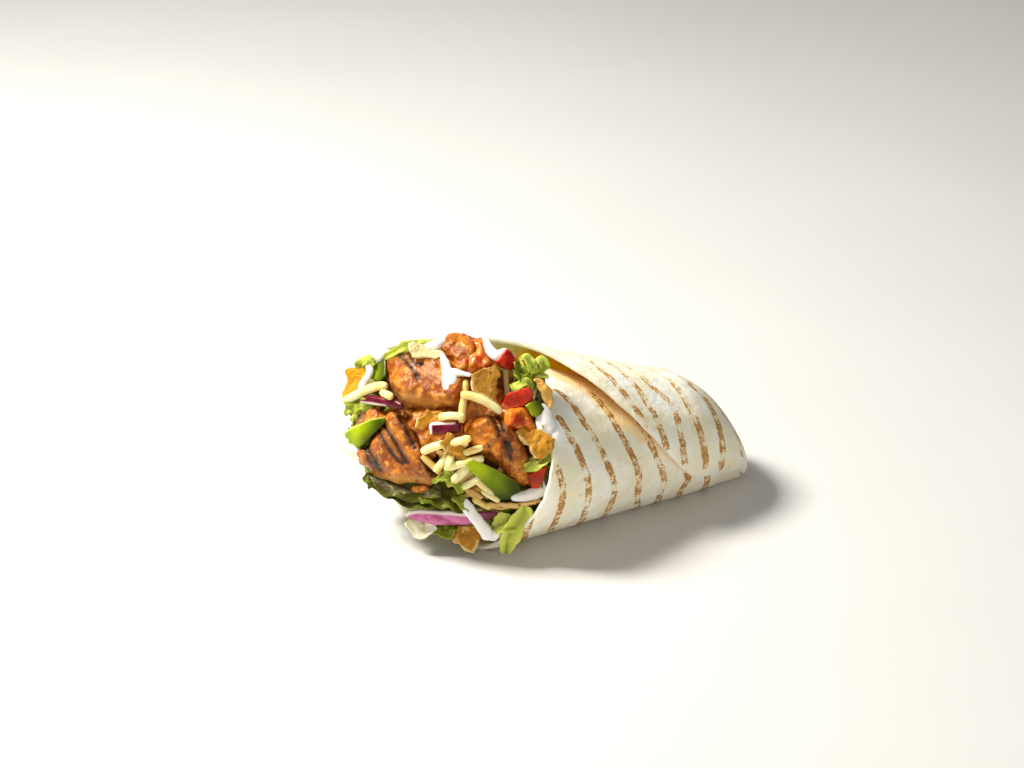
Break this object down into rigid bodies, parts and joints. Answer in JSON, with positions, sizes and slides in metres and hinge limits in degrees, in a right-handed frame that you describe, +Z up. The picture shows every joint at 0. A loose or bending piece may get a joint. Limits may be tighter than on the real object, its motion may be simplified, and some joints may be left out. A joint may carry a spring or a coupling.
{
  "type": "chicken wrap",
  "caption": "Flour tortilla rolled to a tapering cone with a folded tip, its open mouth heaped with grilled chicken, salad, corn chips, cheese and sour cream.",
  "frame": {"origin": "on the flat strip along the roll's underside that it rests on, below the roll's middle line", "axes": "+X along the roll towards its folded tip, so the filled mouth is at -X; +Z up; -Y is the side that the sheet's outer flap ends on"},
  "size_m": [0.1353, 0.0691, 0.0676],
  "materials": {
    "tortilla": "soft matte baked flour sheet, cream white with toasted brown grill bands",
    "grilled_chicken": "moist orange-brown glaze with dark grill bars",
    "salsa": "wet lumpy red-brown sauce",
    "tomato": "wet red diced tomato",
    "green_pepper": "glossy green skin",
    "red_onion": "moist purple skin with a white cut face",
    "corn_chip": "dry, grainy golden corn chip",
    "cheese": "smooth pale yellow strand",
    "lettuce": "crisp, slightly waxy shredded leaf",
    "sour_cream": "smooth wet white cream"
  },
  "bodies": {
    "root": {"cheese_bent": "cheese", "cheese_left": "cheese", "cheese_lower": "cheese", "cheese_short": "cheese", "cheese_tilted": "cheese", "cheese_upright": "cheese", "chicken_back": "grilled_chicken", "chicken_deep": "grilled_chicken", "chicken_edge": "grilled_chicken", "chicken_inner": "grilled_chicken", "chicken_left": "grilled_chicken", "chicken_middle": "grilled_chicken", "chicken_sauced": "grilled_chicken", "chicken_scrap": "grilled_chicken", "chip_edge": "corn_chip", "chip_front": "corn_chip", "chip_inner": "corn_chip", "chip_left": "corn_chip", "chip_middle": "corn_chip", "chip_right": "corn_chip", "chip_small": "corn_chip", "chip_splinter": "corn_chip", "chip_top": "corn_chip", "chip_upper": "corn_chip", "cream_back": "sour_cream", "cream_front": "sour_cream", "cream_left": "sour_cream", "cream_low": "sour_cream", "cream_peak": "sour_cream", "cream_right": "sour_cream", "cream_top": "sour_cream", "filling": "lettuce", "lettuce_bed": "lettuce", "lettuce_curl": "lettuce", "lettuce_fold": "lettuce", "lettuce_front": "lettuce", "lettuce_left": "lettuce", "lettuce_rib": "lettuce", "lettuce_right": "lettuce", "lettuce_side": "lettuce", "lettuce_strip": "lettuce", "lettuce_top": "lettuce", "lettuce_under": "lettuce", "onion_front": "red_onion", "onion_left": "red_onion", "onion_middle": "red_onion", "pepper_back": "green_pepper", "pepper_left": "green_pepper", "pepper_middle": "green_pepper", "pepper_right": "green_pepper", "salsa_middle": "salsa", "salsa_top": "salsa", "tomato_low": "tomato", "tomato_middle": "tomato", "tomato_top": "tomato", "tortilla": "tortilla"}
  },
  "joints": []
}
